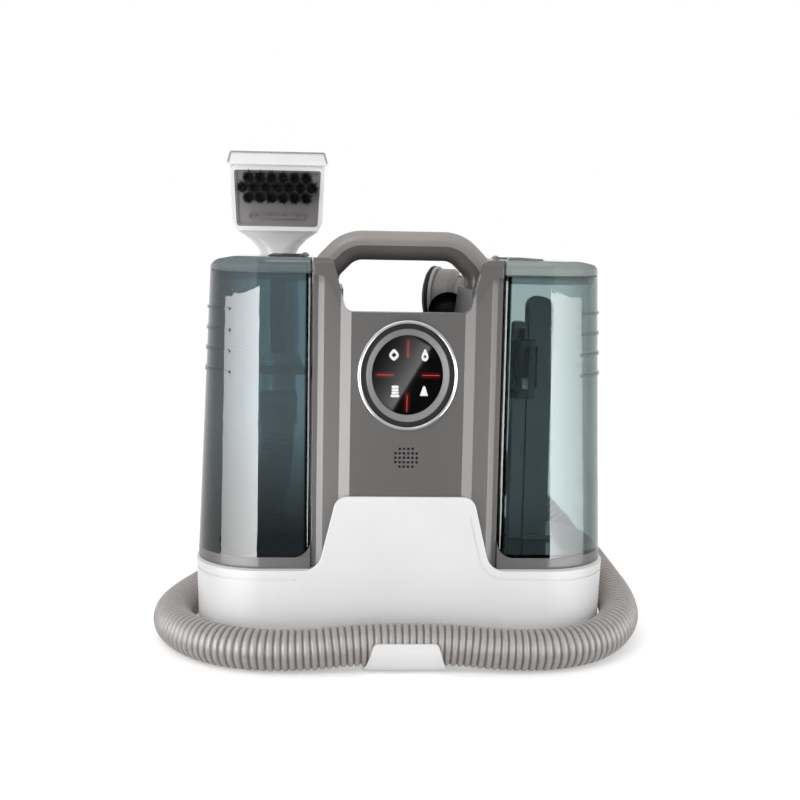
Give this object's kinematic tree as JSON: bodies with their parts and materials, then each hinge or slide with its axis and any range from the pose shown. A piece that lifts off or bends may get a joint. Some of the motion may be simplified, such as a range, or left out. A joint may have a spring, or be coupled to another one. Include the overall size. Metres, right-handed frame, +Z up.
{
  "type": "portable carpet cleaner",
  "caption": "Upright portable carpet cleaner: white base, taupe column with touch dial and carry handle, tinted lift-off tanks, ribbed hose round the foot, brush wand.",
  "frame": {"origin": "on the floor, under the middle of the machine's own box (the hose left out)", "axes": "+X to the right seen from the front, +Y to the back, +Z up"},
  "size_m": [0.4054, 0.2662, 0.4025],
  "materials": {
    "white_plastic": "satin",
    "taupe_plastic": "satin metallic paint",
    "dark_plastic": "fine texture",
    "clear_tank": "tinted clear",
    "clear_lid": "tinted clear",
    "chrome_trim": "polished",
    "bezel_metal": "satin",
    "dial_glass": "polished black",
    "circuit": "lacquered board",
    "black_rubber": "matt",
    "grey_duct": "satin",
    "hose_plastic": "ribbed",
    "elbow_grey": "satin",
    "spring_steel": "bright",
    "motor_metal": "cast",
    "face_grey": "satin",
    "bristle": "nylon bristle",
    "lip_plastic": "satin",
    "brass": "turned",
    "float_foam": "closed-cell foam"
  },
  "bodies": {
    "machine": {"base_shell": "white_plastic", "bottom_plate": "white_plastic", "rubber_feet": "black_rubber", "hose_cradle": "white_plastic", "main_housing": "taupe_plastic", "front_cover": "taupe_plastic", "back_cover": "taupe_plastic", "exhaust_grille": "dark_plastic", "carry_handle_top": "taupe_plastic", "carry_handle_bottom": "taupe_plastic", "dial_ring": "chrome_trim", "dial_bezel": "bezel_metal", "touch_glass": "dial_glass", "control_board": "circuit", "speaker": "dark_plastic", "port_seals": "black_rubber", "motor_mount": "black_rubber", "motor_housing": "motor_metal", "pump": "dark_plastic", "main_board": "circuit", "cord_hook_lower": "taupe_plastic", "cable_gland": "black_rubber", "hose_elbow": "elbow_grey", "elbow_end_cap": "dark_plastic", "elbow_trim_ring": "elbow_grey", "elbow_boot": "dark_plastic", "hose": "hose_plastic", "wand_dock": "taupe_plastic", "screws": "spring_steel"},
    "clean_tank": {"clean_tank": "clear_tank", "clean_tank_seal": "black_rubber", "clean_valve_body": "grey_duct", "clean_valve_spring": "spring_steel"},
    "clean_lid": {"clean_tank_lid": "clear_lid"},
    "clean_bail": {"clean_tank_handle": "dark_plastic"},
    "clean_poppet": {"clean_valve_poppet": "dark_plastic"},
    "dirty_tank": {"dirty_tank": "clear_tank", "dirty_tank_seal": "black_rubber", "riser_duct": "grey_duct", "air_duct": "grey_duct", "float_cage": "grey_duct"},
    "dirty_lid": {"dirty_tank_lid": "clear_lid"},
    "dirty_bail": {"dirty_tank_handle": "dark_plastic"},
    "float": {"float": "float_foam"},
    "fan": {"fan_rotor": "motor_metal"},
    "hook": {"cord_hook_upper": "taupe_plastic"},
    "hose_cuff": {"elbow_cuff": "dark_plastic"},
    "wand": {"wand_cuff": "dark_plastic", "wand_grip_front": "white_plastic", "wand_grip_rear": "white_plastic", "trigger_pin": "spring_steel", "trigger_spring": "spring_steel", "wand_neck": "white_plastic", "nozzle_shell": "white_plastic", "nozzle_faceplate": "face_grey", "brush_tufts": "bristle", "scraper_lip": "lip_plastic", "spray_jet": "brass"},
    "trigger": {"trigger": "taupe_plastic"}
  },
  "joints": [
    {"name": "clean_tank_lift", "type": "slide", "parent": "machine", "child": "clean_tank", "axis": [0, 0, 1], "range_m": [0, 0.25]},
    {"name": "clean_lid_off", "type": "slide", "parent": "clean_tank", "child": "clean_lid", "axis": [0, 0, 1], "range_m": [0, 0.03]},
    {"name": "clean_bail_fold", "type": "hinge", "parent": "clean_lid", "child": "clean_bail", "pos_m": [-0.0815, -0.01, 0.3128], "axis": [0, 1, 0], "range_deg": [0, 90]},
    {"name": "clean_valve_travel", "type": "slide", "parent": "clean_tank", "child": "clean_poppet", "axis": [0, 0, 1], "range_m": [0, 0.0035], "stiffness_N_per_m": 300, "springref_m": -0.001, "deforming": ["clean_valve_spring"]},
    {"name": "dirty_tank_lift", "type": "slide", "parent": "machine", "child": "dirty_tank", "axis": [0, 0, 1], "range_m": [0, 0.25]},
    {"name": "dirty_lid_off", "type": "slide", "parent": "dirty_tank", "child": "dirty_lid", "axis": [0, 0, 1], "range_m": [0, 0.03]},
    {"name": "dirty_bail_fold", "type": "hinge", "parent": "dirty_lid", "child": "dirty_bail", "pos_m": [0.0815, -0.01, 0.3128], "axis": [0, -1, 0], "range_deg": [0, 90]},
    {"name": "float_rise", "type": "slide", "parent": "dirty_tank", "child": "float", "axis": [0, 0, 1], "range_m": [0, 0.028]},
    {"name": "fan_spin", "type": "hinge", "parent": "machine", "child": "fan", "pos_m": [0, 0.002, 0.14], "axis": [0, 0, 1], "continuous": true},
    {"name": "cord_hook_turn", "type": "hinge", "parent": "machine", "child": "hook", "pos_m": [0, 0.08, 0.222], "axis": [0, -1, 0], "range_deg": [0, 180]},
    {"name": "hose_cuff_swivel", "type": "hinge", "parent": "machine", "child": "hose_cuff", "pos_m": [0.046, 0.104, 0.25], "axis": [0, 0, 1], "continuous": true},
    {"name": "wand_lift", "type": "slide", "parent": "machine", "child": "wand", "axis": [0, 0, 1], "range_m": [0, 0.06]},
    {"name": "trigger_pull", "type": "hinge", "parent": "wand", "child": "trigger", "pos_m": [-0.107, 0.101, 0.283], "axis": [1, 0, 0], "range_deg": [0, 8], "stiffness_Nm_per_rad": 0.4, "springref_deg": -2.86, "deforming": ["trigger_spring"]}
  ]
}
